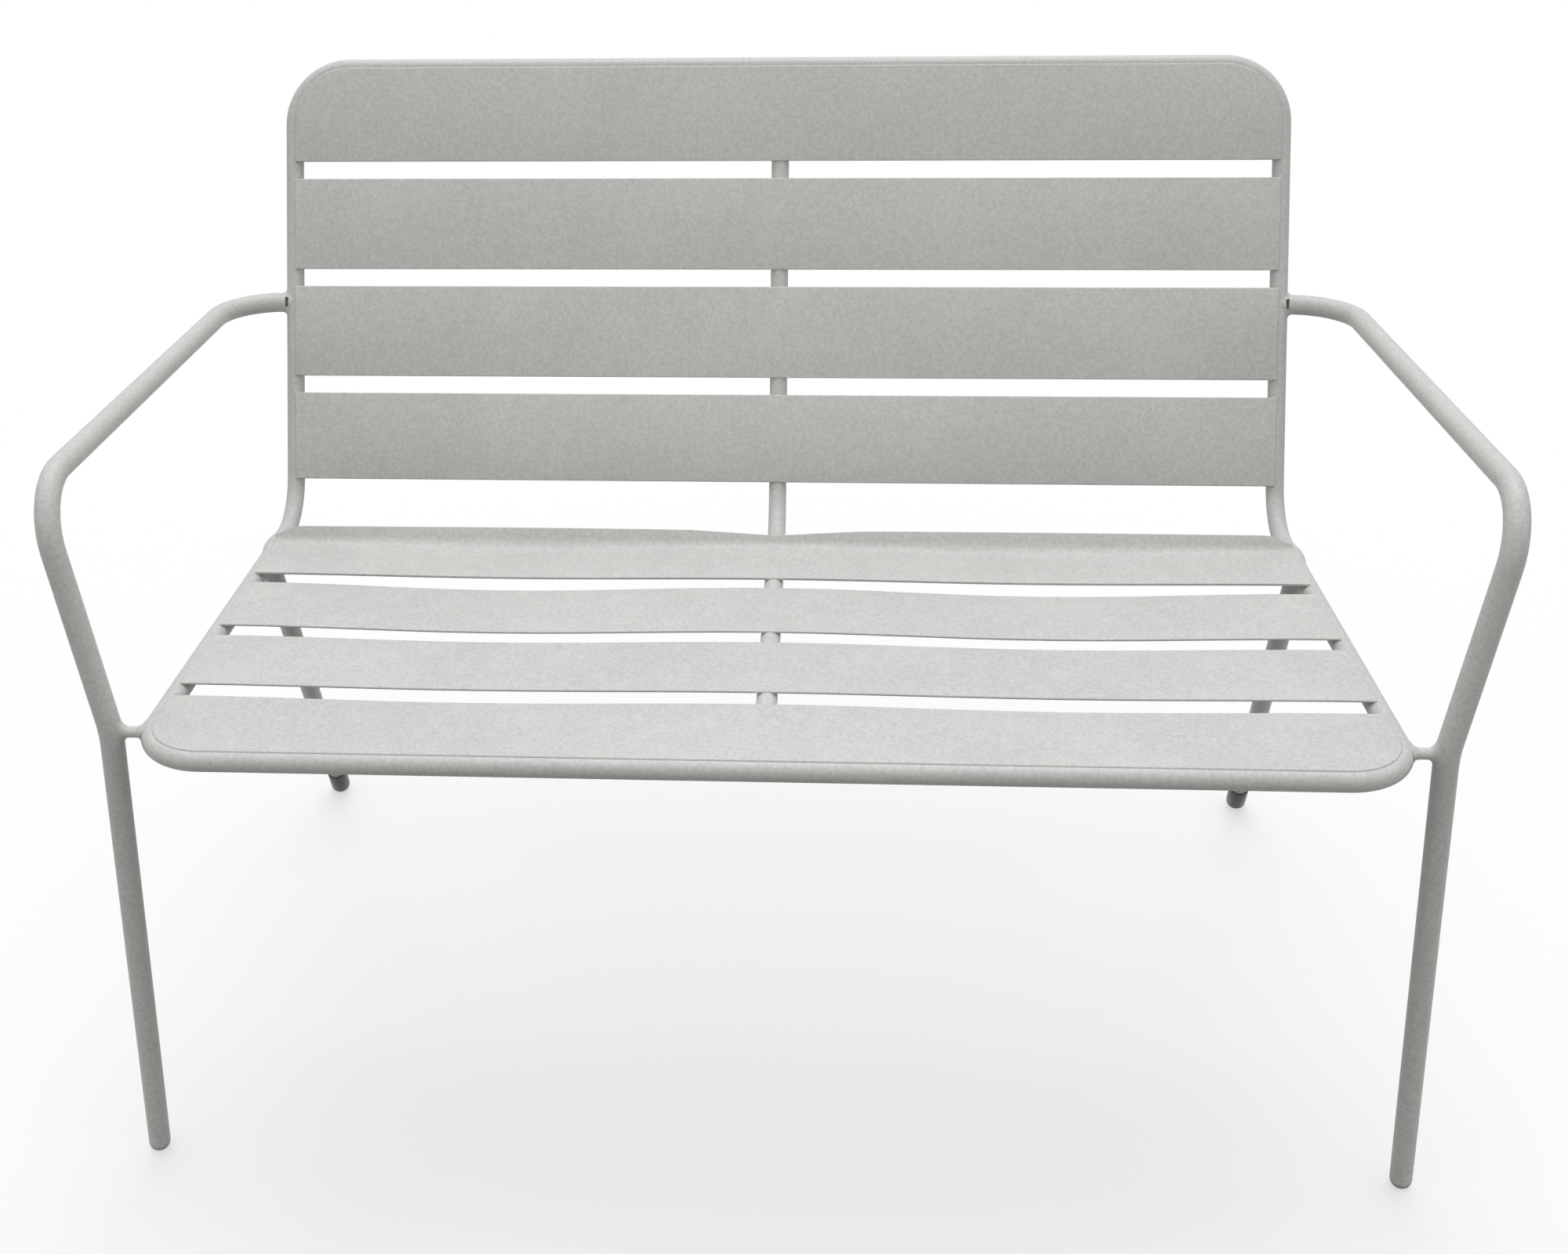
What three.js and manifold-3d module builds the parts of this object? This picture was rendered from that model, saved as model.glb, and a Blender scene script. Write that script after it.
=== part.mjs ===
// Garden bench for two: a bent steel tube frame carries eight sheet steel slats, and each arm is
// one bent tube that runs on down as a front leg. Millimetres and degrees, +Z up, front toward -Y.
// The origin lies on the ground, under the middle of the bench's outline.

import * as THREE from 'three';
import { mergeVertices } from 'three/addons/utils/BufferGeometryUtils.js';
import Module from 'manifold-3d';

const wasm = await Module();
wasm.setup();

const radians = THREE.MathUtils.degToRad;

// ---- Driving dimensions ---------------------------------------------------------------------

// Frame: a back hoop and a seat hoop, spliced under the rear seat slat.
const frameWidth = 911; // between the side tubes' centre lines
const frameTubeDiameter = 16;
const frameTubeWall = 1.5;
const heelHeight = 430.4; // where the seat line and the back line cross, above the ground
const heelBendRadius = 57; // bend from back to seat, on the tube's centre line
const seatDepth = 439; // heel to the front tube's centre line
const seatTilt = 1.84; // front edge higher than the heel
const backLength = 421.7; // heel to the top tube's centre line
const backRecline = 22.4; // from the vertical
const topCornerRadius = 53;
const frontCornerRadius = 48;
const splicePlugReach = 16; // each way from the splice
const splicePastBend = 2; // straight tube between the heel bend and the plug's end

// Middle tube, flush with the frame on the sitter's side.
const middleTubeDiameter = 16;
const middleTubeWall = 1.5;

// Slats.
const slatThickness = 2;
const slatCount = 4; // on the seat, and again on the back
const seatSlatWidth = 81;
const seatSlatSpacing = 19; // open gap between two seat slats
const backSlatWidth = 84; // of the inner two: the lowest is as wide as a seat slat
const backSlatSpacing = 15.7;
const slatEndInset = 2; // slat ends stop this far inside the side tubes' crests
const frontSlatReach = 1; // past the front tube's crest
const topSlatInset = 1; // from the top tube's crest
const topSlatWidth = 87;
const slatDip = 5.5; // of the third seat slat's rear edge, midway between two tubes
const frontSlatDip = 3; // of the front seat slat's rear edge
const rearSlatDip = 2; // of the rear seat slat's front edge, midway between two tubes

// The rear seat slat's rear edge is bent up, parallel to the back.
const lipFold = 59; // from the slat's front edge to the start of the bend
const lipBendRadius = 9; // on the sitter's side
const lipReach = 8; // straight, past the bend
const lipEndInset = 8; // from the slat's end to the lip's end

// Arms with front legs: rear bend, elbow, pinch at the seat, foot.
const armTubeDiameter = 18;
const armTubeWall = 1.5;
const armRootDistance = 203.4; // up the back from the heel
const armSpread = 516; // the armrest's centre line, out from the middle
const armRearBendRadius = 50;
const armRise = 1.9; // the armrest climbs toward the front, in degrees
const elbowReach = 388; // forward of the heel
const elbowBendRadius = 50;
const pinchSpread = 486; // where the leg passes the seat's front corner
const pinchDistance = 400; // along the seat from the heel
const pinchBendRadius = 80;
const frontFootSpread = 526;
const frontFootReach = 365; // forward of the heel

// Spacer rods between the seat's front corners and the legs.
const spacerRodDiameter = 8.5;

// Rear legs: straight tubes, from the side tubes' inner faces to the ground.
const rearLegDiameter = 18;
const rearLegWall = 1.5;
const rearLegTopDistance = 110; // along the seat from the heel
const rearLegTopInset = 7; // from the side tube's centre line
const rearFootSpread = 504;
const rearFootReach = 190; // behind the heel

// Glides: domed plugs in the front legs' open ends.
const glideDiameter = 18;
const glideFlatDiameter = 9; // of the flat that meets the ground
const glideStem = 20; // how far a glide reaches up its tube

// Caps over the rear legs' lower ends.
const capWall = 1.2;
const capSkirt = 40; // up the leg from the cap's floor
const capDomeRise = 6; // from the cap's floor to the tip of its rounded end
const capFlatWidth = 7; // of the flat that meets the ground, across the bench

// Clearances.
const weldGap = 0.3; // between pieces that are welded or seated face to face
const plugGap = 0.3; // around a plug inside its tube

// Fineness of the facets.
const tubeSides = 16;
const bendStep = 15; // degrees of bend per facet
const sheetStep = 38; // along a slat
const lipFacets = 5;
const domeRings = 4;

// ---- Side view: the seat line and the back line ---------------------------------------------

const halfWidth = frameWidth / 2;
const frameRadius = frameTubeDiameter / 2;
const tilt = radians(seatTilt);
const recline = radians(backRecline);

// Unit directions in the plane of symmetry. Each normal points to the sitter's side.
const alongSeat = new THREE.Vector3(0, -Math.cos(tilt), Math.sin(tilt));
const seatNormal = new THREE.Vector3(0, Math.sin(tilt), Math.cos(tilt));
const alongBack = new THREE.Vector3(0, Math.sin(recline), Math.cos(recline));
const backNormal = new THREE.Vector3(0, -Math.cos(recline), Math.sin(recline));

const heelTurn = Math.PI / 2 + tilt - recline; // turned through by the heel bend
const heelSetback = heelBendRadius * Math.tan(heelTurn / 2);
const spliceDistance = heelSetback + splicePastBend + splicePlugReach;

/** A point of the seat line: x across, distance from the heel, rise above the line. */
function onSeat(x, distance, rise = 0) {
  return new THREE.Vector3(x, 0, heelHeight)
    .addScaledVector(alongSeat, distance)
    .addScaledVector(seatNormal, rise);
}

/** A point of the back line: x across, distance from the heel, rise in front of the line. */
function onBack(x, distance, rise = 0) {
  return new THREE.Vector3(x, 0, heelHeight)
    .addScaledVector(alongBack, distance)
    .addScaledVector(backNormal, rise);
}

/** Where the seat line and the back line cross when both are raised by the same amount. */
function heel(x, rise = 0) {
  return onSeat(x, rise / Math.tan((Math.PI - heelTurn) / 2), rise);
}

// ---- Tubes and solids -----------------------------------------------------------------------

/** A tube's centre line: straight runs that meet in bends, with a facet every few degrees. */
class BentRoute extends THREE.Curve {
  /** corners: [{ at: Vector3, radius }], where the first and the last have no radius. */
  constructor(corners) {
    super();
    this.stations = [];
    corners.forEach((corner, i) => {
      if (corner.radius) this.addBend(corners[i - 1].at, corner, corners[i + 1].at);
      else this.addEnd(corners, i);
    });
  }

  addEnd(corners, i) {
    const [from, to] = i === 0 ? [corners[0].at, corners[1].at] : [corners[i - 1].at, corners[i].at];
    this.stations.push({ point: corners[i].at, tangent: to.clone().sub(from).normalize() });
  }

  addBend(before, corner, after) {
    const into = corner.at.clone().sub(before).normalize();
    const away = after.clone().sub(corner.at).normalize();
    const turn = into.angleTo(away);
    const setback = corner.radius * Math.tan(turn / 2);
    const inward = away.clone().addScaledVector(into, -away.dot(into)).normalize();
    const centre = corner.at.clone().addScaledVector(into, -setback).addScaledVector(inward, corner.radius);
    const count = Math.ceil(THREE.MathUtils.radToDeg(turn) / bendStep);
    for (let i = 0; i <= count; i++) {
      const a = (turn * i) / count;
      this.stations.push({
        point: centre
          .clone()
          .addScaledVector(inward, -corner.radius * Math.cos(a))
          .addScaledVector(into, corner.radius * Math.sin(a)),
        tangent: into.clone().multiplyScalar(Math.cos(a)).addScaledVector(inward, Math.sin(a)),
      });
    }
  }

  get steps() {
    return this.stations.length - 1;
  }

  /** The station at or before t, and how far t lies toward the next one. */
  locate(t) {
    const i = Math.min(Math.floor(t * this.steps + 1e-6), this.steps - 1);
    return [this.stations[i], this.stations[i + 1], t * this.steps - i];
  }

  getPoint(t, target = new THREE.Vector3()) {
    const [a, b, part] = this.locate(t);
    return target.lerpVectors(a.point, b.point, part);
  }

  getTangent(t, target = new THREE.Vector3()) {
    const [a, b, part] = this.locate(t);
    return target.lerpVectors(a.tangent, b.tangent, part).normalize();
  }

  // Stations are spaced by shape, not by length.
  getPointAt(t, target) {
    return this.getPoint(t, target);
  }

  getTangentAt(t, target) {
    return this.getTangent(t, target);
  }
}

/** A straight or bent tube, or a solid bar where no wall is given. */
function tube(route, diameter, wall = 0) {
  const section = new THREE.Shape().absarc(0, 0, diameter / 2, 0, 2 * Math.PI);
  if (wall) section.holes.push(new THREE.Path().absarc(0, 0, diameter / 2 - wall, 0, 2 * Math.PI, true));
  return new THREE.ExtrudeGeometry(section, {
    extrudePath: route,
    steps: route.steps,
    curveSegments: tubeSides / 2,
  });
}

/** A straight route between two points, lengthened at each end by reach. */
function straight(from, to, reach = 0) {
  const along = to.clone().sub(from).normalize();
  const start = from.clone().addScaledVector(along, -reach);
  const end = to.clone().addScaledVector(along, reach);
  return new BentRoute([{ at: start }, { at: end }]);
}

function toSolid(geometry) {
  const bare = geometry.clone().deleteAttribute('normal').deleteAttribute('uv');
  const merged = mergeVertices(bare, 1e-4);
  return new wasm.Manifold(
    new wasm.Mesh({
      numProp: 3,
      vertProperties: merged.attributes.position.array,
      triVerts: new Uint32Array(merged.index.array),
    }),
  );
}

function toGeometry(solid) {
  const mesh = solid.getMesh();
  const geometry = new THREE.BufferGeometry();
  geometry.setAttribute('position', new THREE.BufferAttribute(mesh.vertProperties, 3));
  geometry.setIndex(new THREE.BufferAttribute(mesh.triVerts, 1));
  const flat = geometry.toNonIndexed();
  flat.computeVertexNormals();
  return flat;
}

/** A geometry with others cut away from it. */
function cut(geometry, ...cutters) {
  const solid = cutters.reduce((rest, cutter) => rest.subtract(toSolid(cutter)), toSolid(geometry));
  return toGeometry(solid);
}

// ---- Finishes and nodes ---------------------------------------------------------------------

const powderCoat = new THREE.MeshStandardMaterial({ color: 0xb9b8b1, roughness: 0.55, metalness: 0 });
const plainSteel = new THREE.MeshStandardMaterial({ color: 0x8c8c8a, roughness: 0.45, metalness: 1 });
const glideNylon = new THREE.MeshStandardMaterial({ color: 0xa9a8a1, roughness: 0.6, metalness: 0 });
const capPlastic = new THREE.MeshStandardMaterial({ color: 0x2a2d2b, roughness: 0.35, metalness: 0 });

const bench = new THREE.Group();

function addPiece(name, geometry, material) {
  const mesh = new THREE.Mesh(geometry, material);
  mesh.name = name;
  bench.add(mesh);
  return mesh;
}

const sides = [
  { name: 'left', sign: -1 },
  { name: 'right', sign: 1 },
];

// ---- Frame hoops and their splice plugs -----------------------------------------------------

const backHoopRoute = new BentRoute([
  { at: onSeat(-halfWidth, spliceDistance - weldGap / 2) },
  { at: heel(-halfWidth), radius: heelBendRadius },
  { at: onBack(-halfWidth, backLength), radius: topCornerRadius },
  { at: onBack(halfWidth, backLength), radius: topCornerRadius },
  { at: heel(halfWidth), radius: heelBendRadius },
  { at: onSeat(halfWidth, spliceDistance - weldGap / 2) },
]);
addPiece('back_hoop_tube', tube(backHoopRoute, frameTubeDiameter, frameTubeWall), powderCoat);

const seatHoopRoute = new BentRoute([
  { at: onSeat(-halfWidth, spliceDistance + weldGap / 2) },
  { at: onSeat(-halfWidth, seatDepth), radius: frontCornerRadius },
  { at: onSeat(halfWidth, seatDepth), radius: frontCornerRadius },
  { at: onSeat(halfWidth, spliceDistance + weldGap / 2) },
]);
addPiece('seat_hoop_tube', tube(seatHoopRoute, frameTubeDiameter, frameTubeWall), powderCoat);

const splicePlugDiameter = frameTubeDiameter - 2 * (frameTubeWall + plugGap);
for (const side of sides) {
  const route = straight(
    onSeat(side.sign * halfWidth, spliceDistance - splicePlugReach),
    onSeat(side.sign * halfWidth, spliceDistance + splicePlugReach),
  );
  addPiece(`splice_plug_${side.name}`, tube(route, splicePlugDiameter), plainSteel);
}

// ---- Middle tube, coped to the top and front tubes ------------------------------------------

const hoopCopes = [backHoopRoute, seatHoopRoute].map((route) => tube(route, frameTubeDiameter + 2 * weldGap));

const middleRise = (frameTubeDiameter - middleTubeDiameter) / 2;
const middleRoute = new BentRoute([
  { at: onBack(0, backLength, middleRise) },
  { at: heel(0, middleRise), radius: heelBendRadius - middleRise },
  { at: onSeat(0, seatDepth, middleRise) },
]);
addPiece('middle_tube', cut(tube(middleRoute, middleTubeDiameter, middleTubeWall), ...hoopCopes), powderCoat);

// ---- Slats ----------------------------------------------------------------------------------

// A slat is drawn in its own frame: x along the seat or back from the heel, y off the tubes toward
// the sitter, and z across the bench.
const sheetFoot = frameRadius + weldGap;
const sheetFace = sheetFoot + slatThickness;
const slatHalfLength = halfWidth - slatEndInset;
const seatSlatPitch = seatSlatWidth + seatSlatSpacing;

/** Places a slat's own frame on the seat line or on the back line. */
function layOn(mesh, along, normal) {
  const sideways = new THREE.Vector3().crossVectors(along, normal);
  mesh.setRotationFromMatrix(new THREE.Matrix4().makeBasis(along, normal, sideways));
  mesh.position.copy(heel(0));
}

/** The section of a flat sheet between two distances. Extra rows let it dip unevenly. */
function flatSection(near, far, rows = 1) {
  const foot = [];
  for (let i = 0; i <= rows; i++) foot.push(new THREE.Vector2(near + ((far - near) * i) / rows, sheetFoot));
  const face = foot.map((point) => new THREE.Vector2(point.x, sheetFace)).reverse();
  return new THREE.Shape([...foot, ...face]);
}

/** The section of a lip: a short flat root up to rootEnd, the bend from fold, the upright. */
function lipSection(fold, rootEnd) {
  const centre = sheetFace + lipBendRadius;
  const arc = (radius, from, to, clockwise) =>
    new THREE.Path().absarc(fold, centre, radius, from, to, clockwise).getPoints(lipFacets);
  const down = -Math.PI / 2;
  const upright = down - heelTurn;
  const reach = new THREE.Vector2(lipReach, 0).rotateAround(new THREE.Vector2(), Math.PI - heelTurn);
  const face = arc(lipBendRadius, down, upright, true);
  const back = arc(lipBendRadius + slatThickness, upright, down, false);
  return new THREE.Shape([
    new THREE.Vector2(rootEnd, sheetFace),
    ...face,
    face.at(-1).clone().add(reach),
    back[0].clone().add(reach),
    ...back,
    new THREE.Vector2(rootEnd, sheetFoot),
  ]);
}

/** Extrudes a section across the bench, from one z to another. */
function across(section, from, to, steps = 1) {
  const settings = { depth: to - from, steps, bevelEnabled: false, curveSegments: 1 };
  return new THREE.ExtrudeGeometry(section, settings).translate(0, 0, from);
}

/** A slat over the whole width, with facets along it where it dips. */
function slat(section, dips = false) {
  const steps = dips ? 2 * Math.ceil(slatHalfLength / sheetStep) : 1;
  return across(section, -slatHalfLength, slatHalfLength, steps);
}

/** Lets a sheet dip midway between the side tubes and the middle tube, depth(x) at the most. */
function dip(geometry, depth) {
  const position = geometry.getAttribute('position');
  for (let i = 0; i < position.count; i++) {
    const share = Math.sin((Math.PI * position.getZ(i)) / slatHalfLength) ** 2;
    position.setY(i, position.getY(i) - share * depth(position.getX(i)));
  }
  return geometry;
}

/** Rounds the two corners at a sheet's far edge, like the hoop's corners under them. */
function roundFarCorners(geometry, near, far, radius) {
  const overhang = near - slatThickness;
  const plan = new THREE.Shape()
    .moveTo(overhang, -slatHalfLength)
    .lineTo(far - radius, -slatHalfLength)
    .absarc(far - radius, -slatHalfLength + radius, radius, -Math.PI / 2, 0)
    .absarc(far - radius, slatHalfLength - radius, radius, 0, Math.PI / 2)
    .lineTo(overhang, slatHalfLength);
  const height = 4 * sheetFace;
  const block = new THREE.ExtrudeGeometry(plan, { depth: height, bevelEnabled: false, curveSegments: 8 })
    .translate(0, 0, -height / 2)
    .rotateX(Math.PI / 2);
  return toGeometry(toSolid(geometry).intersect(toSolid(block)));
}

const frontSlatEdge = seatDepth + frontSlatReach;
const rearSlatEdge = frontSlatEdge - (slatCount - 1) * seatSlatPitch;
const fold = rearSlatEdge - lipFold;
const deepest = rearSlatEdge + seatSlatSpacing;

/** How far a seat slat dips at a distance from the heel: most behind the third slat's rear edge. */
function seatDip(distance) {
  return slatDip * THREE.MathUtils.mapLinear(distance, frontSlatEdge, deepest, 0, 1);
}

for (let i = 0; i < slatCount - 1; i++) {
  const far = frontSlatEdge - i * seatSlatPitch;
  const near = far - seatSlatWidth;
  const frontDip = (distance) => (frontSlatDip * (far - distance)) / seatSlatWidth;
  let geometry = dip(slat(flatSection(near, far), true), i === 0 ? frontDip : seatDip);
  if (i === 0) geometry = roundFarCorners(geometry, near, far, frontCornerRadius - slatEndInset);
  layOn(addPiece(`seat_slat_${i + 1}`, geometry, powderCoat), alongSeat, seatNormal);
}

// The rear seat slat, whose rear edge is bent up into a lip.
const rootEnd = fold + slatThickness;
const rearSheet = dip(slat(flatSection(fold, rearSlatEdge, 2), true), (distance) =>
  Math.max(0, THREE.MathUtils.mapLinear(distance, rootEnd, rearSlatEdge, 0, rearSlatDip)),
);
const lipHalfLength = slatHalfLength - lipEndInset;
const lip = across(lipSection(fold, rootEnd), -lipHalfLength, lipHalfLength);
const rearSlat = toSolid(rearSheet).add(toSolid(lip));
layOn(addPiece(`seat_slat_${slatCount}`, toGeometry(rearSlat), powderCoat), alongSeat, seatNormal);

let far = backLength - topSlatInset;
for (let i = 0; i < slatCount; i++) {
  const lowerWidth = i < slatCount - 1 ? backSlatWidth : seatSlatWidth;
  const near = far - (i === 0 ? topSlatWidth : lowerWidth);
  let geometry = slat(flatSection(near, far));
  if (i === 0) geometry = roundFarCorners(geometry, near, far, topCornerRadius - slatEndInset);
  layOn(addPiece(`back_slat_${i + 1}`, geometry, powderCoat), alongBack, backNormal);
  far = near - backSlatSpacing;
}

// ---- Legs' lower ends and their feet --------------------------------------------------------

// A foot's rounded end is half an ellipsoid round the leg's line, cut flat by the ground.
const glideDome = { radius: glideDiameter / 2, rise: glideDiameter / 2, flat: glideFlatDiameter };
const capBore = rearLegDiameter / 2 + plugGap;
const capDome = { radius: capBore + capWall, rise: capDomeRise, flat: capFlatWidth };
const latheAxis = new THREE.Vector3(0, 1, 0);

/** The middle of a dome's rim, under a leg that comes down from above to the ground at foot. */
function domeCentre(above, foot, dome) {
  const lean = above.clone().sub(foot).angleTo(new THREE.Vector3(0, 0, 1));
  const lowest = Math.hypot(dome.radius * Math.sin(lean), dome.rise * Math.cos(lean));
  const height = lowest * Math.sqrt(1 - (dome.flat / (2 * dome.radius)) ** 2);
  return foot.clone().lerp(above, height / above.z);
}

/** Where the leg's tube ends, seated on its foot. */
function tubeEnd(above, foot, dome) {
  return domeCentre(above, foot, dome).lerp(above, weldGap / above.z);
}

/** Turns a dome and the outline over it round the leg's line, and cuts it flat at the ground. */
function latheFoot(above, foot, dome, outline) {
  const arc = new THREE.Path().absellipse(0, 0, dome.radius, dome.rise, -Math.PI / 2, 0, false);
  const rest = outline.map(([radius, rise]) => new THREE.Vector2(radius, rise));
  const legAxis = above.clone().sub(foot).normalize();
  const centre = domeCentre(above, foot, dome);
  const body = new THREE.LatheGeometry([...arc.getPoints(domeRings), ...rest], tubeSides)
    .applyQuaternion(new THREE.Quaternion().setFromUnitVectors(latheAxis, legAxis))
    .translate(centre.x, centre.y, centre.z);
  const width = 4 * dome.radius;
  return cut(body, new THREE.BoxGeometry(width, width, width).translate(foot.x, foot.y, -width / 2));
}

/** A domed plug in a leg's lower end. */
function glide(above, foot) {
  const stemRadius = armTubeDiameter / 2 - armTubeWall - plugGap;
  return latheFoot(above, foot, glideDome, [
    [stemRadius, 0],
    [stemRadius, glideStem],
    [0, glideStem],
  ]);
}

/** A cap over a leg's lower end. */
function footCap(above, foot) {
  return latheFoot(above, foot, capDome, [
    [capDome.radius, capSkirt],
    [capBore, capSkirt],
    [capBore, 0],
    [0, 0],
  ]);
}

// ---- Arms with front legs, and the rods between seat and leg --------------------------------

const armRoot = onBack(0, armRootDistance);
const elbowHeight = armRoot.z + (armRoot.y + elbowReach) * Math.tan(radians(armRise));
const pinch = onSeat(0, pinchDistance);

for (const side of sides) {
  const outward = (x) => side.sign * x;
  const legPinch = pinch.clone().setX(outward(pinchSpread));
  const foot = new THREE.Vector3(outward(frontFootSpread), -frontFootReach, 0);
  const armRoute = new BentRoute([
    { at: armRoot.clone().setX(outward(halfWidth)) },
    { at: armRoot.clone().setX(outward(armSpread)), radius: armRearBendRadius },
    { at: new THREE.Vector3(outward(armSpread), -elbowReach, elbowHeight), radius: elbowBendRadius },
    { at: legPinch, radius: pinchBendRadius },
    { at: tubeEnd(legPinch, foot, glideDome) },
  ]);
  addPiece(`arm_tube_${side.name}`, cut(tube(armRoute, armTubeDiameter, armTubeWall), ...hoopCopes), powderCoat);
  addPiece(`foot_glide_front_${side.name}`, glide(legPinch, foot), glideNylon);

  const rodRoute = straight(pinch.clone().setX(outward(halfWidth)), legPinch);
  const armCope = tube(armRoute, armTubeDiameter + 2 * weldGap);
  addPiece(`spacer_rod_${side.name}`, cut(tube(rodRoute, spacerRodDiameter), ...hoopCopes, armCope), powderCoat);
}

// ---- Rear legs ------------------------------------------------------------------------------

/** A block over the seat, down to the side tubes' centre lines. */
function overSideTubes(distance) {
  const size = 8 * rearLegDiameter;
  const block = new THREE.BoxGeometry(2 * frameWidth, size, size);
  const middle = onSeat(0, distance, size / 2);
  return block.rotateX(-tilt).translate(middle.x, middle.y, middle.z);
}

for (const side of sides) {
  const top = onSeat(side.sign * (halfWidth - rearLegTopInset), rearLegTopDistance);
  const foot = new THREE.Vector3(side.sign * rearFootSpread, rearFootReach, 0);
  const overlong = top.clone().lerp(foot, -rearLegDiameter / top.z);
  const leg = tube(straight(overlong, tubeEnd(top, foot, capDome)), rearLegDiameter, rearLegWall);
  const trimmed = cut(leg, ...hoopCopes, overSideTubes(rearLegTopDistance));
  addPiece(`rear_leg_${side.name}`, trimmed, powderCoat);
  addPiece(`foot_cap_rear_${side.name}`, footCap(top, foot), capPlastic);
}

// The origin is under the middle of the bench's outline.
const outline = new THREE.Box3().setFromObject(bench, true);
bench.position.y = -(outline.min.y + outline.max.y) / 2;

export default bench;
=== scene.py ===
"""The looks of a steel garden bench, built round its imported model.

A bent tube frame carries eight sheet steel slats. Each arm is one tube that runs on down as a
front leg, and two straight rear legs are welded under the seat. All the steel is powder coated
after welding, so the coat runs over the weld fillets without a break. Metres, +Z up, front
toward -Y.
"""

import logging
from dataclasses import dataclass
from enum import Enum
from math import asin, cos, exp, hypot, pi, radians, sin, sqrt, tan
from typing import Callable, Iterable, Optional, Sequence

import bpy
from mathutils import Matrix, Vector


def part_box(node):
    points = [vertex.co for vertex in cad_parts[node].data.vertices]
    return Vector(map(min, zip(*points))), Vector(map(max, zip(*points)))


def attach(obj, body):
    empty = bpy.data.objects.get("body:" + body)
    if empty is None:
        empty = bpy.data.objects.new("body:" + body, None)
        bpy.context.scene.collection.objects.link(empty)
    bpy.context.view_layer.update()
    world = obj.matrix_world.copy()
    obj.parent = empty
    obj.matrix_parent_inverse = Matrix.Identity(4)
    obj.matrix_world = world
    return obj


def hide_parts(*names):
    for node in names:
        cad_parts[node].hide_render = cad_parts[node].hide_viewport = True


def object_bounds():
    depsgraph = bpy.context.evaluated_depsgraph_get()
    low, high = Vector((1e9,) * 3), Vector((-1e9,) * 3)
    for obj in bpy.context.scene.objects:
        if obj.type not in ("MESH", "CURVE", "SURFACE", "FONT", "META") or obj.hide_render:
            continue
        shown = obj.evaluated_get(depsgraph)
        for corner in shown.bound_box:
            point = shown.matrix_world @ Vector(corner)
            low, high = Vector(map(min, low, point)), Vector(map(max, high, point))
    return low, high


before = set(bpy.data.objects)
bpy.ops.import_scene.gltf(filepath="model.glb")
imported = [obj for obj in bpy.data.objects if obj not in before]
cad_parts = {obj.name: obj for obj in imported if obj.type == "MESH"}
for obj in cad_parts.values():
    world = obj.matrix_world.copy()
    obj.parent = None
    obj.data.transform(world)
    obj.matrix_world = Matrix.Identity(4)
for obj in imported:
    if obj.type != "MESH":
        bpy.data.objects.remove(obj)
CAD_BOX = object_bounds()

log = logging.getLogger("garden_bench")

MM = 0.001
BODY = "root"
SIDES = {"left": -1, "right": 1}
ACROSS = Vector((1, 0, 0))
UP = Vector((0, 0, 1))

EMBED = 1 * MM  # how far a tube's end goes on into the piece that it is welded to
SAME_PLACE = 0.01 * MM  # vertices closer than this are one
ON_LINE = 0.1 * MM  # vertices closer than this to a line count as on it
SMOOTH_ANGLE = radians(32)  # edges sharper than this stay sharp


class Slot(Enum):
    """The record's material slots."""

    COAT = "powder_coat"
    STEEL = "plain_steel"
    NYLON = "glide_nylon"
    PLASTIC = "cap_plastic"


# ---- Editing by hand -----------------------------------------------------------------------------


def deselect_all() -> None:
    """Leaves edit mode, if need be, and deselects every object."""
    if bpy.context.mode != "OBJECT":
        bpy.ops.object.mode_set(mode="OBJECT")
    bpy.ops.object.select_all(action="DESELECT")


def pick(piece: bpy.types.Object) -> None:
    """Makes a piece the only selected object, and the active one.

    Args:
        piece: The object to work on.
    """
    deselect_all()
    piece.select_set(True)
    bpy.context.view_layer.objects.active = piece


def edit(piece: bpy.types.Object, select: str = "SELECT") -> None:
    """Opens a piece in edit mode.

    Args:
        piece: The object to edit.
        select: What mesh.select_all does first, "SELECT" or "DESELECT".
    """
    pick(piece)
    bpy.ops.object.mode_set(mode="EDIT")
    bpy.ops.mesh.select_mode(type="VERT")
    bpy.ops.mesh.select_all(action=select)


def close_edit() -> None:
    """Goes back to object mode."""
    bpy.ops.object.mode_set(mode="OBJECT")


def apply_place(piece: bpy.types.Object) -> None:
    """Moves a piece's place, turn and scale into its mesh, so that it sits at the origin."""
    pick(piece)
    bpy.ops.object.transform_apply(location=True, rotation=True, scale=True)


def select_vertices(piece: bpy.types.Object, wanted: Callable[[Vector], bool]) -> None:
    """Selects the vertices that a test picks, with the edges and faces between them.

    Args:
        piece: The object, in object mode or edit mode. It ends in edit mode.
        wanted: Says whether the vertex at a place is picked.
    """
    edit(piece, "DESELECT")
    close_edit()
    for vertex in piece.data.vertices:
        vertex.select = wanted(vertex.co)
    bpy.ops.object.mode_set(mode="EDIT")


def apply_modifier(piece: bpy.types.Object, kind: str, **settings: object) -> None:
    """Adds a modifier to a piece and applies it.

    Args:
        piece: The object.
        kind: The modifier's type, such as "BEVEL".
        **settings: The modifier's properties.
    """
    pick(piece)
    modifier = piece.modifiers.new(kind.lower(), kind)
    for key, value in settings.items():
        setattr(modifier, key, value)
    bpy.ops.object.modifier_apply(modifier=modifier.name)


def round_edges(piece: bpy.types.Object, width: float, segments: int, angle: float) -> None:
    """Bevels the edges that are sharper than an angle."""
    settings = {"limit_method": "ANGLE", "angle_limit": angle}
    apply_modifier(piece, "BEVEL", width=width, segments=segments, **settings)


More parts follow.
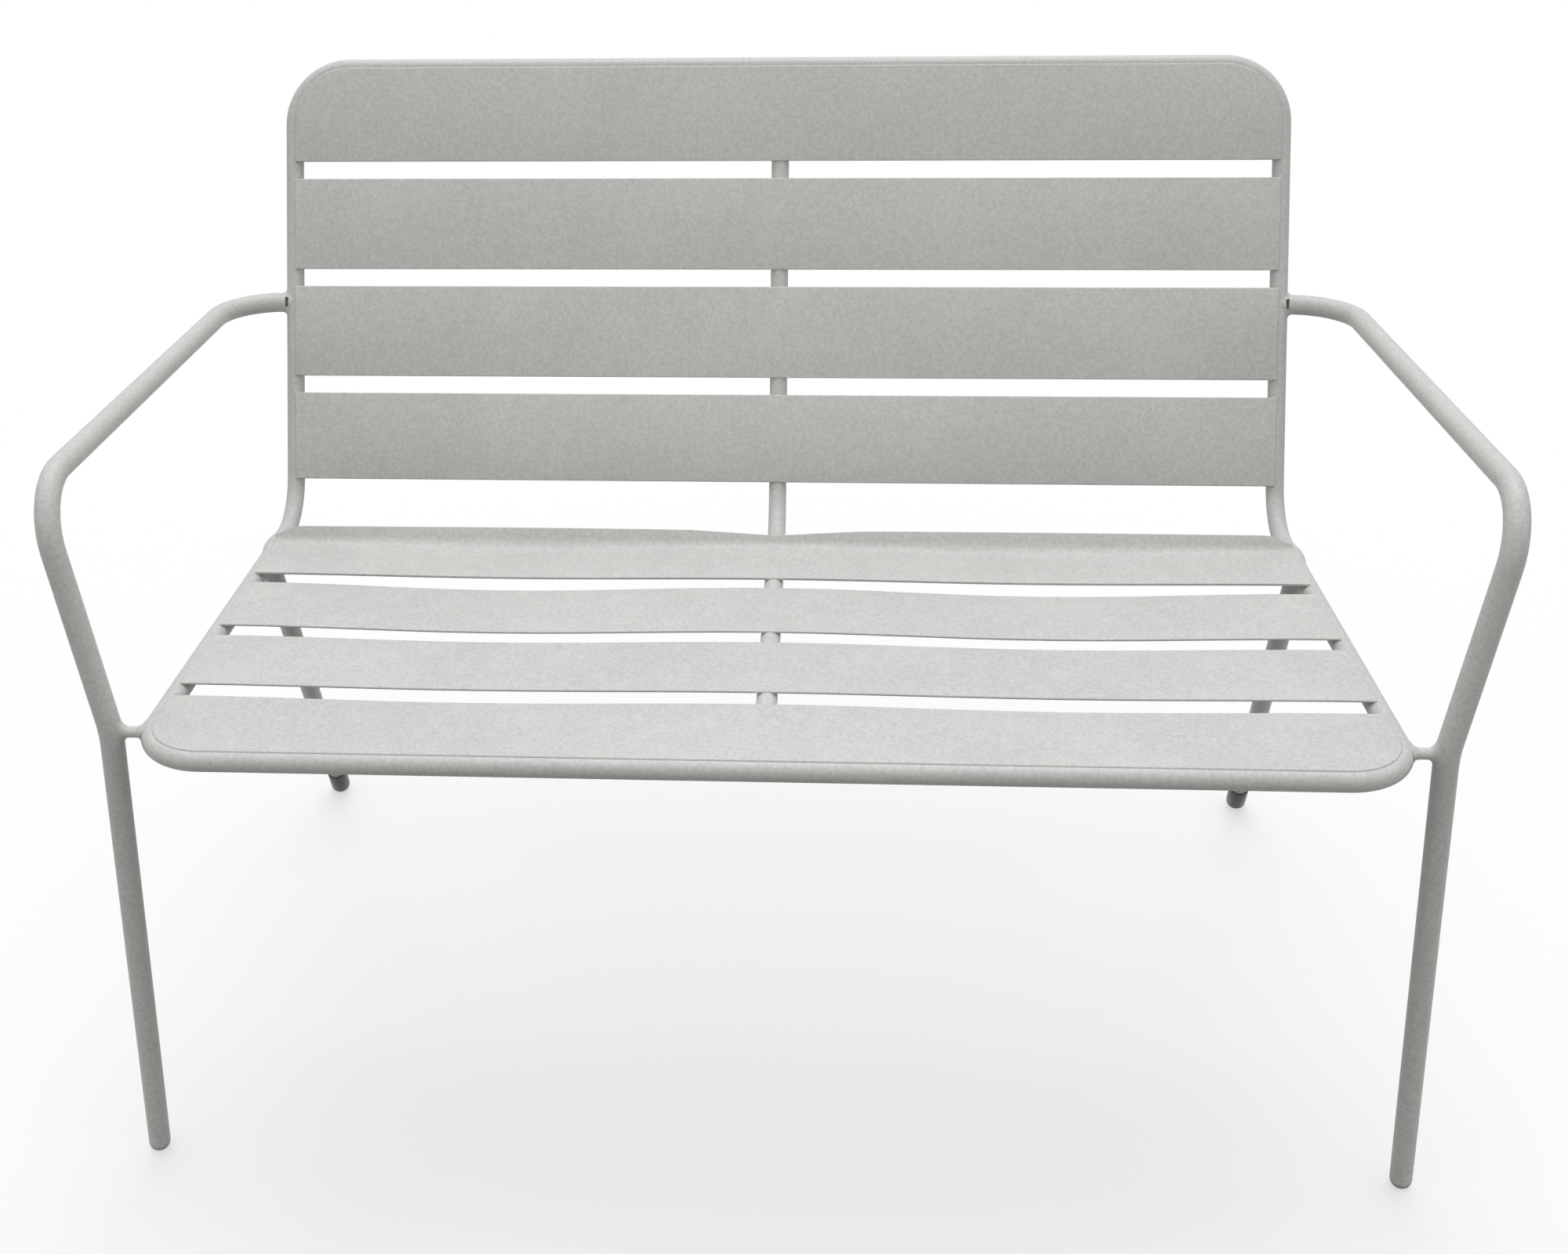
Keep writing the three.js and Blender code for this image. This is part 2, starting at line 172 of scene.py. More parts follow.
def face_outward(piece: bpy.types.Object) -> None:
    """Merges doubles and turns the faces outward.

    Args:
        piece: The object.
    """
    edit(piece)
    bpy.ops.mesh.remove_doubles(threshold=SAME_PLACE)
    bpy.ops.mesh.normals_make_consistent(inside=False)
    close_edit()


def tidy_mesh(piece: bpy.types.Object, smooth_angle: float = SMOOTH_ANGLE) -> None:
    """Merges doubles, turns the faces outward and smooths all but the edges past an angle."""
    face_outward(piece)
    bpy.ops.object.shade_smooth_by_angle(angle=smooth_angle)


# ---- Bent tubes ----------------------------------------------------------------------------------


@dataclass(frozen=True)
class Corner:
    """A corner of a tube's centre line, or one of its ends where it has no radius."""

    at: Vector
    radius: float = 0.0


@dataclass(frozen=True)
class Bar:
    """A stretch of round tube or bar: a point on its axis, its direction and its radius."""

    at: Vector
    along: Vector
    radius: float


class TubeBender:
    """Draws one tube: a ring is drawn out along the straight runs and spun round the bends."""

    ring_sides: int = 40
    bend_step: float = radians(3)

    def __init__(self, name: str, at: Vector, toward: Vector, radius: float) -> None:
        """Adds the first ring.

        Args:
            name: The piece's name.
            at: The ring's centre.
            toward: The direction that the tube sets off in.
            radius: The tube's outer radius.
        """
        deselect_all()
        turn = toward.to_track_quat("Z", "Y").to_euler()
        bpy.ops.mesh.primitive_circle_add(
            vertices=self.ring_sides, radius=radius, fill_type="NOTHING", location=at, rotation=turn
        )
        self.piece = bpy.context.object
        self.piece.name = name
        self.centre = at.copy()
        apply_place(self.piece)
        edit(self.piece)

    def run_to(self, to: Vector) -> None:
        """Draws the ring out in a straight line, until its centre is at a point."""
        bpy.ops.mesh.extrude_region_move(TRANSFORM_OT_translate={"value": to - self.centre})
        self.centre = to.copy()

    def bend(self, before: Vector, corner: Corner, after: Vector) -> None:
        """Draws the ring up to a bend and round it.

        Args:
            before: A point on the centre line before the corner.
            corner: The corner, with its bend radius.
            after: A point on the centre line after the corner.
        """
        into = (corner.at - before).normalized()
        away = (after - corner.at).normalized()
        turn = into.angle(away)
        axis = into.cross(away).normalized()
        setback = corner.radius * tan(turn / 2)
        start = corner.at - into * setback
        centre = start + axis.cross(into) * corner.radius
        self.run_to(start)
        steps = max(2, round(turn / self.bend_step))
        # Spin counts its angle against the right-hand rule.
        bpy.ops.mesh.spin(steps=steps, angle=-turn, center=centre, axis=axis)
        self.centre = corner.at + away * setback

    def reshape(self, shift: Vector, scale: float) -> None:
        """Moves the open ring and scales it about its centre.

        Args:
            shift: How far the ring's centre moves.
            scale: The factor on its radius.
        """
        bpy.ops.transform.translate(value=shift)
        self.centre += shift
        bpy.ops.transform.resize(value=(scale, scale, scale), center_override=self.centre)

    def finish(self) -> bpy.types.Object:
        """Caps both ends.

        Returns:
            The finished tube.
        """
        bpy.ops.mesh.select_all(action="SELECT")
        bpy.ops.mesh.fill_holes(sides=0)
        close_edit()
        tidy_mesh(self.piece)
        return self.piece


def bend_tube(name: str, route: Sequence[Corner], radius: float) -> bpy.types.Object:
    """Makes a tube along a route.

    Args:
        name: The piece's name.
        route: Its corners, the first and the last without a radius.
        radius: The tube's outer radius.

    Returns:
        The finished tube.
    """
    bender = TubeBender(name, route[0].at, route[1].at - route[0].at, radius)
    for before, corner, after in zip(route, route[1:], route[2:]):
        bender.bend(before.at, corner, after.at)
    bender.run_to(route[-1].at)
    return bender.finish()


@dataclass(frozen=True)
class WeldFillet:
    """The weld fillet round a branch that ends on a larger or equal bar."""

    branch: Bar  # points away from the main bar
    main: Bar
    leg: float  # how far the fillet reaches along each bar
    sunk: float = 0.2 * MM  # its edges lie this deep in the bars
    turns: int = 56
    rows: int = 7
    spread_lean: float = 0.5  # of the lower edge, away from the branch
    hollow: float = 0.25  # 0 follows the corner, 1 is a flat bevel
    smooth_angle: float = radians(60)

    def around_main(self, point: Vector) -> Vector:
        """The part of a point's offset from the main bar that is square to its axis."""
        offset = point - self.main.at
        return offset - self.main.along * offset.dot(self.main.along)

    def on_main(self, rim: Vector) -> Vector:
        """Slides a point of the branch's outline along the branch onto the main bar.

        Args:
            rim: The point.

        Returns:
            Where it meets the main bar.
        """
        branch, main = self.branch, self.main
        flat = self.around_main(rim)
        slope = branch.along - main.along * branch.along.dot(main.along)
        half_b = flat.dot(slope)
        rest = flat.length_squared - main.radius**2
        root = sqrt(max(half_b**2 - slope.length_squared * rest, 0))
        return rim + branch.along * ((root - half_b) / slope.length_squared)

    def section(self, out: Vector) -> list[Vector]:
        """Draws the fillet's section on one side of the branch.

        Args:
            out: That side, square to the branch.

        Returns:
            Its points, from the branch to the main bar, and one inside both.
        """
        branch, main = self.branch, self.main
        saddle = self.on_main(branch.at + out * branch.radius)
        normal = self.around_main(saddle).normalized()
        spread = out - branch.along * self.spread_lean
        spread = (spread - normal * spread.dot(normal)).normalized()
        low = saddle + spread * self.leg
        low_out = self.around_main(low)
        low += low_out.normalized() * (main.radius - self.sunk) - low_out
        high = saddle + branch.along * self.leg - out * self.sunk
        crown = saddle.lerp((low + high) / 2, self.hollow)
        points = []
        for row in range(self.rows):
            t = row / (self.rows - 1)
            points.append(high * (1 - t) ** 2 + crown * 2 * t * (1 - t) + low * t**2)
        points.append(saddle - (out + normal).normalized() * 4 * self.sunk)
        return points

    def build(self, name: str) -> bpy.types.Object:
        """Wraps a grid round the branch.

        Args:
            name: The piece's name.

        Returns:
            The fillet, a closed ring.
        """
        first = self.branch.along.cross(self.main.along).normalized()
        second = self.branch.along.cross(first)
        deselect_all()
        bpy.ops.mesh.primitive_grid_add(
            x_subdivisions=self.rows + 1, y_subdivisions=self.turns, size=1
        )
        piece = bpy.context.object
        piece.name = name
        for index, vertex in enumerate(piece.data.vertices):
            turn, row = divmod(index, self.rows + 2)
            angle = 2 * pi * (turn % self.turns) / self.turns
            section = self.section(first * cos(angle) + second * sin(angle))
            vertex.co = section[row % (self.rows + 1)]
        tidy_mesh(piece, self.smooth_angle)
        return piece


# ---- The frame's lines ---------------------------------------------------------------------------


@dataclass(frozen=True)
class FrameLines:
    """The seat line and the back line, on the centre lines of the frame's side tubes."""

    half_width: float
    heel: Vector
    tube_radius: float = 8 * MM
    seat_depth: float = 439 * MM
    seat_tilt: float = radians(1.84)
    back_length: float = 421.7 * MM
    back_recline: float = radians(22.4)
    heel_bend: float = 57 * MM
    front_corner: float = 48 * MM
    splice_distance: float = 57.5 * MM  # forward from the heel

    @classmethod
    def from_frame(cls) -> "FrameLines":
        """Reads the width and the heel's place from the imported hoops.

        Returns:
            The lines of this bench.
        """
        seat_low, seat_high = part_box("seat_hoop_tube")
        back_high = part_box("back_hoop_tube")[1]
        y = seat_low.y + cls.tube_radius + cls.seat_depth * cos(cls.seat_tilt)
        z = back_high.z - cls.tube_radius - cls.back_length * cos(cls.back_recline)
        return cls(half_width=seat_high.x - cls.tube_radius, heel=Vector((0, y, z)))

    @property
    def along_seat(self) -> Vector:
        """Forward along the seat."""
        return Vector((0, -cos(self.seat_tilt), sin(self.seat_tilt)))

    @property
    def seat_normal(self) -> Vector:
        """Up from the seat, to the sitter's side."""
        return Vector((0, sin(self.seat_tilt), cos(self.seat_tilt)))

    @property
    def along_back(self) -> Vector:
        """Up along the back."""
        return Vector((0, sin(self.back_recline), cos(self.back_recline)))

    @property
    def back_normal(self) -> Vector:
        """Forward from the back, to the sitter's side."""
        return Vector((0, -cos(self.back_recline), sin(self.back_recline)))

    @property
    def heel_turn(self) -> float:
        """The angle that the heel bend turns through."""
        return pi / 2 + self.seat_tilt - self.back_recline

    def on_seat(self, x: float, distance: float, rise: float = 0.0) -> Vector:
        """The point at a distance forward from the heel, raised toward the sitter."""
        return self.heel + ACROSS * x + self.along_seat * distance + self.seat_normal * rise

    def on_back(self, x: float, distance: float, rise: float = 0.0) -> Vector:
        """The point at a distance up from the heel, raised toward the sitter."""
        return self.heel + ACROSS * x + self.along_back * distance + self.back_normal * rise

    def heel_at(self, x: float, rise: float = 0.0) -> Vector:
        """Where the seat line and the back line cross when both are raised alike."""
        return self.on_seat(x, rise / tan((pi - self.heel_turn) / 2), rise)

    def seat_rail(self, sign: int, distance: float) -> Bar:
        """The seat hoop's side tube, also where it bends into the front tube.

        Args:
            sign: -1 on the left and 1 on the right.
            distance: Forward from the heel.

        Returns:
            The tube there.
        """
        past = max(0.0, distance - (self.seat_depth - self.front_corner))
        turned = asin(past / self.front_corner)
        x = self.half_width - self.front_corner * (1 - cos(turned))
        along = self.along_seat * cos(turned) - ACROSS * sign * sin(turned)
        return Bar(self.on_seat(sign * x, distance), along, self.tube_radius)


# ---- Finishes ------------------------------------------------------------------------------------


class Nodes:
    """A node tree that is written by hand, left to right."""

    def __init__(self, tree: bpy.types.NodeTree) -> None:
        """Takes the tree to add to."""
        self.tree = tree

    @classmethod
    def of(cls, owner: bpy.types.Material | bpy.types.World) -> "Nodes":
        """Empties a material's or a world's own tree.

        Args:
            owner: The material or the world.

        Returns:
            The writer of its nodes.
        """
        owner.use_nodes = True
        owner.node_tree.nodes.clear()
        return cls(owner.node_tree)

    def add(self, kind: str, inputs: Optional[dict] = None, **settings: object) -> bpy.types.Node:
        """Adds a node.

        Args:
            kind: Its type.
            inputs: Socket names or numbers, each with a value or with the output that feeds it.
            **settings: The node's properties.

        Returns:
            The node.
        """
        node = self.tree.nodes.new(kind)
        for key, value in settings.items():
            setattr(node, key, value)
        for key, value in (inputs or {}).items():
            if isinstance(value, bpy.types.NodeSocket):
                self.tree.links.new(value, node.inputs[key])
            else:
                node.inputs[key].default_value = value
        return node

    def math(self, operation: str, a: object, b: object = 0.0) -> bpy.types.NodeSocket:
        """Adds a Math node on two values or outputs."""
        return self.add("ShaderNodeMath", {0: a, 1: b}, operation=operation).outputs[0]

    def ramp(
        self, value: object, low: float, high: float, to_low: float, to_high: float
    ) -> bpy.types.NodeSocket:
        """Maps the range from low to high smoothly onto another."""
        inputs = dict(zip(range(5), (value, low, high, to_low, to_high)))
        return self.add("ShaderNodeMapRange", inputs, interpolation_type="SMOOTHSTEP").outputs[0]

    def noise(
        self, place: bpy.types.NodeSocket, scale: object, detail: float, rough: float
    ) -> bpy.types.NodeSocket:
        """Adds a Noise Texture, whose scale is per metre."""
        inputs = {"Vector": place, "Scale": scale, "Detail": detail, "Roughness": rough}
        return self.add("ShaderNodeTexNoise", inputs).outputs[0]

    def group(self, tree: bpy.types.NodeTree, inputs: dict) -> bpy.types.NodeOutputs:
        """Places a node group, with its inputs, and returns its outputs."""
        return self.add("ShaderNodeGroup", inputs, node_tree=tree).outputs

    def sum(
        self, start: float, shares: Iterable[tuple[bpy.types.NodeSocket, float]]
    ) -> bpy.types.NodeSocket:
        """Adds weighted outputs to a number.

        Args:
            start: The number.
            shares: The outputs, each with its weight.

        Returns:
            The sum.
        """
        total = start
        for output, weight in shares:
            total = self.math("ADD", total, self.math("MULTIPLY", output, weight))
        return total

    def mix_color(self, factor: bpy.types.NodeSocket, a: object, b: object) -> bpy.types.NodeSocket:
        """Mixes two colours or outputs."""
        inputs = {"Factor": factor, 6: a, 7: b}
        return self.add("ShaderNodeMix", inputs, data_type="RGBA").outputs[2]


def new_group(
    name: str, inputs: dict[str, float], *outputs: str
) -> tuple[bpy.types.NodeTree, Nodes, bpy.types.Node]:
    """Starts a shader node group.

    Args:
        name: The group's name.
        inputs: Its number inputs, with their defaults. A Place input for coordinates comes first.
        *outputs: Its number outputs.

    Returns:
        The group, the writer of its nodes and its input node.
    """
    group = bpy.data.node_groups.new(name, "ShaderNodeTree")
    sockets = group.interface
    sockets.new_socket("Place", in_out="INPUT", socket_type="NodeSocketVector")
    for key, value in inputs.items():
        sockets.new_socket(key, in_out="INPUT", socket_type="NodeSocketFloat").default_value = value
    for key in outputs:
        sockets.new_socket(key, in_out="OUTPUT", socket_type="NodeSocketFloat")
    nodes = Nodes(group)
    return group, nodes, nodes.add("NodeGroupInput")


@dataclass(frozen=True)
class SurfaceGrain:
    """The fine grain of a sprayed or moulded surface."""

    scale: float = 900.0
    orange_peel: float = 0.35
    coarse_scale: float = 0.22  # of the fine grain's
    speck_scale: float = 0.4
    speck_range: tuple[float, float] = (0.32, 0.68)
    roughness: float = 0.6
    coarse_roughness: float = 0.5

    def build(self) -> bpy.types.NodeTree:
        """Builds the group.

        Returns:
            A group that puts out Height, the relief, and Speckle, from -1 to 1.
        """
        inputs = {"Grain Scale": self.scale, "Orange Peel": self.orange_peel}
        group, nodes, source = new_group("surface_grain", inputs, "Height", "Speckle")
        place, scale = source.outputs["Place"], source.outputs["Grain Scale"]
        fine = nodes.noise(place, scale, 2.0, self.roughness)
        coarse_scale = nodes.math("MULTIPLY", scale, self.coarse_scale)
        coarse = nodes.noise(place, coarse_scale, 1.0, self.coarse_roughness)
        peel = nodes.math("MULTIPLY", coarse, source.outputs["Orange Peel"])
        speck_scale = nodes.math("MULTIPLY", scale, self.speck_scale)
        specks = nodes.noise(place, speck_scale, 2.0, self.roughness)
        speckle = nodes.ramp(specks, *self.speck_range, -1.0, 1.0)
        nodes.add("NodeGroupOutput", {"Height": nodes.math("ADD", fine, peel), "Speckle": speckle})
        return group


@dataclass(frozen=True)
class OutdoorFilm:
    """The broad clouds and the dust of a surface that stands outdoors."""

    cloud_scale: float = 9.0
    cloud_roughness: float = 0.55
    cloud_range: tuple[float, float] = (0.25, 0.75)
    dust_scale: float = 60.0
    dust_roughness: float = 0.6
    dust_range: tuple[float, float] = (0.42, 0.7)
    upward_from: float = 0.2

    def build(self) -> bpy.types.NodeTree:
        """Builds the group.

        Returns:
            A group that puts out Cloud, from -1 to 1, and Dust, from 0 to 1 on faces that look up.
        """
        inputs = {"Cloud Scale": self.cloud_scale, "Dust Scale": self.dust_scale}
        group, nodes, source = new_group("outdoor_film", inputs, "Cloud", "Dust")
        place = source.outputs["Place"]
        broad = nodes.noise(place, source.outputs["Cloud Scale"], 3.0, self.cloud_roughness)
        cloud = nodes.ramp(broad, *self.cloud_range, -1.0, 1.0)
        patches = nodes.noise(place, source.outputs["Dust Scale"], 4.0, self.dust_roughness)
        patches = nodes.ramp(patches, *self.dust_range, 0.0, 1.0)
        normal = nodes.add("ShaderNodeNewGeometry").outputs["Normal"]
        height = nodes.add("ShaderNodeSeparateXYZ", {0: normal}).outputs["Z"]
        upward = nodes.ramp(height, self.upward_from, 1.0, 0.0, 1.0)
        dust = nodes.math("MULTIPLY", patches, upward)
        nodes.add("NodeGroupOutput", {"Cloud": cloud, "Dust": dust})
        return group


@dataclass(frozen=True)
class EdgeWearAndHighlight:
    """Lighter colour along a piece's sharp edges: partly the worn, thin coat there, partly a
    painted highlight.
    """

    edge_range: tuple[float, float] = (0.51, 0.58)
    patch_scale: float = 90.0
    patch_roughness: float = 0.6
    patch_range: tuple[float, float] = (0.35, 0.65)
    least: float = 0.25  # between the patches

    def build(self) -> bpy.types.NodeTree:
        """Builds the group.

        Returns:
            A group that puts out the lightening of sharp edges, worn coat and painted highlight,
            from 0 on flat faces to 1 on the sharpest edges.
        """
        group, nodes, source = new_group("edge_wear_and_highlight", {"Patch Scale": self.patch_scale}, "WearAndHighlight")
        sharp = nodes.add("ShaderNodeNewGeometry").outputs["Pointiness"]
        # sharp edges turn lighter here, as worn coat and as a painted highlight
        edge = nodes.ramp(sharp, *self.edge_range, 0.0, 1.0)
        scale = source.outputs["Patch Scale"]
        patches = nodes.noise(source.outputs["Place"], scale, 3.0, self.patch_roughness)
        patches = nodes.ramp(patches, *self.patch_range, self.least, 1.0)
        nodes.add("NodeGroupOutput", {"WearAndHighlight": nodes.math("MULTIPLY", edge, patches)})
        return group


@dataclass(frozen=True)
class Finish:
    """A finish: what it is called, its slot and how it looks."""

    name: str
    slot: Slot
    color: tuple[float, float, float]
    roughness: float
    metallic: float = 0.0
    grain_scale: float = 900.0
    grain_depth: float = 0.05 * MM
    orange_peel: float = 0.35
    speckle: float = 0.07
    cloud: float = 0.02
    dust: float = 0.04
    # lightens sharp edges: worn coat, and a painted highlight
    edge_wear_and_highlight: float = 0.12
    cloud_roughness: float = 0.03
    dust_roughness: float = 0.08

    def build(
        self, grain: bpy.types.NodeTree, weather: bpy.types.NodeTree, wear_and_highlight: bpy.types.NodeTree
    ) -> bpy.types.Material:
        """Builds the material.

        Args:
            grain: The surface_grain group.
            weather: The outdoor_film group.
            wear_and_highlight: The edge_wear_and_highlight group, which lightens sharp edges as
                worn coat and as a painted highlight.

        Returns:
            The material.
        """
        material = bpy.data.materials.new(self.name)
        nodes = Nodes.of(material)
        place = nodes.add("ShaderNodeTexCoord").outputs["Object"]
        relief_inputs = {"Place": place, "Grain Scale": self.grain_scale}
        relief_inputs["Orange Peel"] = self.orange_peel
        relief = nodes.group(grain, relief_inputs)
        film = nodes.group(weather, {"Place": place})
        rubbed_and_highlit = nodes.group(wear_and_highlight, {"Place": place})
        # the edge share lightens sharp edges, for worn coat and a painted highlight
        shares = (
            (relief["Speckle"], self.speckle),
            (film["Cloud"], self.cloud),
            (film["Dust"], self.dust),
            (rubbed_and_highlit["WearAndHighlight"], self.edge_wear_and_highlight),
        )
        color_inputs = {0: self.color, "Scale": nodes.sum(1.0, shares)}
        color = nodes.add("ShaderNodeVectorMath", color_inputs, operation="SCALE")
        rough_shares = (film["Cloud"], self.cloud_roughness), (film["Dust"], self.dust_roughness)
        bump_inputs = {"Height": relief["Height"], "Distance": self.grain_depth, "Strength": 1.0}
        shader_inputs = {
            "Base Color": color.outputs[0],
            "Roughness": nodes.sum(self.roughness, rough_shares),
            "Metallic": self.metallic,
            "Normal": nodes.add("ShaderNodeBump", bump_inputs).outputs["Normal"],
        }
        shader = nodes.add("ShaderNodeBsdfPrincipled", shader_inputs)
        nodes.add("ShaderNodeOutputMaterial", {"Surface": shader.outputs["BSDF"]})
        return material


COAT_COLOR = (0.595, 0.590, 0.562)
FINISHES = (
    Finish("powder_coat_tube", Slot.COAT, COAT_COLOR, 0.46),
    Finish("powder_coat_sheet", Slot.COAT, COAT_COLOR, 0.50, grain_scale=800.0, cloud=0.03),
    Finish(
        "glide_nylon", Slot.NYLON, (0.42, 0.415, 0.39), 0.55,
        grain_scale=1400.0, speckle=0.015, dust=0.02,
    ),
    Finish(
        "cap_plastic", Slot.PLASTIC, (0.030, 0.034, 0.032), 0.30,
        grain_scale=1400.0, speckle=0.08, dust=0.1,
    ),
    Finish(
        "mill_steel", Slot.STEEL, (0.45, 0.45, 0.44), 0.38,
        metallic=1.0, grain_scale=2500.0, cloud=0.05,
    ),
)


class Paintshop:
    """Builds the finishes once and dresses pieces with them."""

    def __init__(self) -> None:
        """Builds the shared groups and every finish."""
        groups = SurfaceGrain().build(), OutdoorFilm().build(), EdgeWearAndHighlight().build()
        self.finishes = {finish.name: finish for finish in FINISHES}
        self.materials = {finish.name: finish.build(*groups) for finish in FINISHES}

    def dress(self, piece: bpy.types.Object, finish: str, *nodes: str) -> None:
        """Gives a new piece its finish and joins it to the bench.

        Args:
            piece: The piece, in place.
            finish: The finish's name.
            *nodes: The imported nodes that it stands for.
        """
        piece.data.materials.clear()
        piece.data.materials.append(self.materials[finish])
        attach(piece, BODY)
        if nodes:
            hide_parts(*nodes)
        log.info("%s: %d faces, %s", piece.name, len(piece.data.polygons), finish)

    def dress_node(self, node: str, finish: str) -> None:
        """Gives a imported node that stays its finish.

        Args:
            node: The node's name.
            finish: The finish's name.
        """
        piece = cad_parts[node]
        if not piece.material_slots:
            piece.data.materials.append(None)
        for material_slot in piece.material_slots:
            material_slot.link = "OBJECT"
            material_slot.material = self.materials[finish]
        log.info("%s: packed node, %s", node, finish)


# ---- Frame hoops and middle tube -----------------------------------------------------------------


@dataclass
class HoopFrame:
    """The back hoop and the seat hoop, welded over their splice plugs, and the middle tube."""

    lines: FrameLines
    paint: Paintshop
    top_corner: float = 53 * MM
    swelling: float = 2.6 * MM
    swelling_peak: float = 68 * MM
    swelling_reach: float = 25 * MM
    swelling_rings: int = 10
    middle_radius: float = 8 * MM
    fillet_leg: float = 4 * MM

    def proud(self, distance: float) -> float:
        """How far the welded and ground joint stands out.

        Args:
            distance: The place on the side tube, from the heel.

        Returns:
            The height over the plain tube, on its outer side.
        """
        share = min(1.0, abs(distance - self.swelling_peak) / self.swelling_reach)
        return self.swelling * (1 + cos(pi * share)) / 2

    def swell(self, bender: TubeBender, near: float, far: float, outward: Vector) -> None:
        """Draws the tube on through its share of the swelling.

        Args:
            bender: The tube in hand.
            near: Where its ring is, from the heel.
            far: Where the ring goes.
            outward: The side that the swelling stands out on.
        """
        radius = self.lines.tube_radius
        step = (far - near) / self.swelling_rings
        for i in range(self.swelling_rings):
            before, after = self.proud(near + step * i) / 2, self.proud(near + step * (i + 1)) / 2
            bender.run_to(bender.centre + self.lines.along_seat * step)
            bender.reshape(outward * (after - before), (radius + after) / (radius + before))

    def hoop(self, name: str, corners: Sequence[Corner], end: float) -> bpy.types.Object:
        """Makes a hoop that starts and ends at the splices.

        Args:
            name: The piece's name.
            corners: The hoop's bends, from left to right.
            end: Where the swelling ends on this hoop, from the heel.

        Returns:
            The hoop.
        """
        splice = self.lines.splice_distance
        left = self.lines.on_seat(-self.lines.half_width, splice)
        right = self.lines.on_seat(self.lines.half_width, splice)
        way = self.lines.along_seat * (end - splice)
        swollen = self.proud(splice) / 2
        start = left - ACROSS * swollen
        bender = TubeBender(name, start, way, self.lines.tube_radius + swollen)
        self.swell(bender, splice, end, -ACROSS)
        points = [left] + [corner.at for corner in corners] + [right]
        for i, corner in enumerate(corners):
            bender.bend(points[i], corner, points[i + 2])
        bender.run_to(right + way)
        self.swell(bender, end, splice, ACROSS)
        return bender.finish()

    def build_hoops(self) -> None:
        """Builds both hoops."""
        lines = self.lines
        half = lines.half_width
        seat = [
            Corner(lines.on_seat(-half, lines.seat_depth), lines.front_corner),
            Corner(lines.on_seat(half, lines.seat_depth), lines.front_corner),
        ]
        seat_hoop = self.hoop("seat_hoop", seat, self.swelling_peak + self.swelling_reach)
        self.paint.dress(seat_hoop, "powder_coat_tube", "seat_hoop_tube")
        back = [
            Corner(lines.heel_at(-half), lines.heel_bend),
            Corner(lines.on_back(-half, lines.back_length), self.top_corner),
            Corner(lines.on_back(half, lines.back_length), self.top_corner),
            Corner(lines.heel_at(half), lines.heel_bend),
        ]
        back_hoop = self.hoop("back_hoop", back, self.swelling_peak - self.swelling_reach)
        self.paint.dress(back_hoop, "powder_coat_tube", "back_hoop_tube")

    def build_middle(self) -> None:
        """Builds the middle tube and the fillets at its two ends."""
        lines = self.lines
        rise = lines.tube_radius - self.middle_radius  # puts its crest level with the side tubes'
        inside = lines.tube_radius - EMBED
        route = [
            Corner(lines.on_back(0, lines.back_length - inside, rise)),
            Corner(lines.heel_at(0, rise), lines.heel_bend - rise),
            Corner(lines.on_seat(0, lines.seat_depth - inside, rise)),
        ]
        middle = bend_tube("middle_tube_bent", route, self.middle_radius)
        self.paint.dress(middle, "powder_coat_tube", "middle_tube")
        top = Bar(lines.on_back(0, lines.back_length), ACROSS, lines.tube_radius)
        front = Bar(lines.on_seat(0, lines.seat_depth), ACROSS, lines.tube_radius)
        upper = lines.on_back(0, lines.back_length, rise)
        lower = lines.on_seat(0, lines.seat_depth, rise)
        ends = ("top", upper, -lines.along_back, top), ("front", lower, -lines.along_seat, front)
        for name, at, along, main in ends:
            branch = Bar(at, along, self.middle_radius)
            fillet = WeldFillet(branch, main, self.fillet_leg).build(f"weld_middle_{name}")
            self.paint.dress(fillet, "powder_coat_tube")

    def build(self) -> None:
        """Builds the hoops and the middle tube, and dresses the splice plugs inside them."""
        self.build_hoops()
        self.build_middle()
        for side in SIDES:
            self.paint.dress_node(f"splice_plug_{side}", "mill_steel")


# ---- Slats ---------------------------------------------------------------------------------------


def even_places(start: float, end: float, count: int) -> list[float]:
    """The places that part a length into equal steps, without its two ends."""
    return [start + (end - start) * i / count for i in range(1, count)]


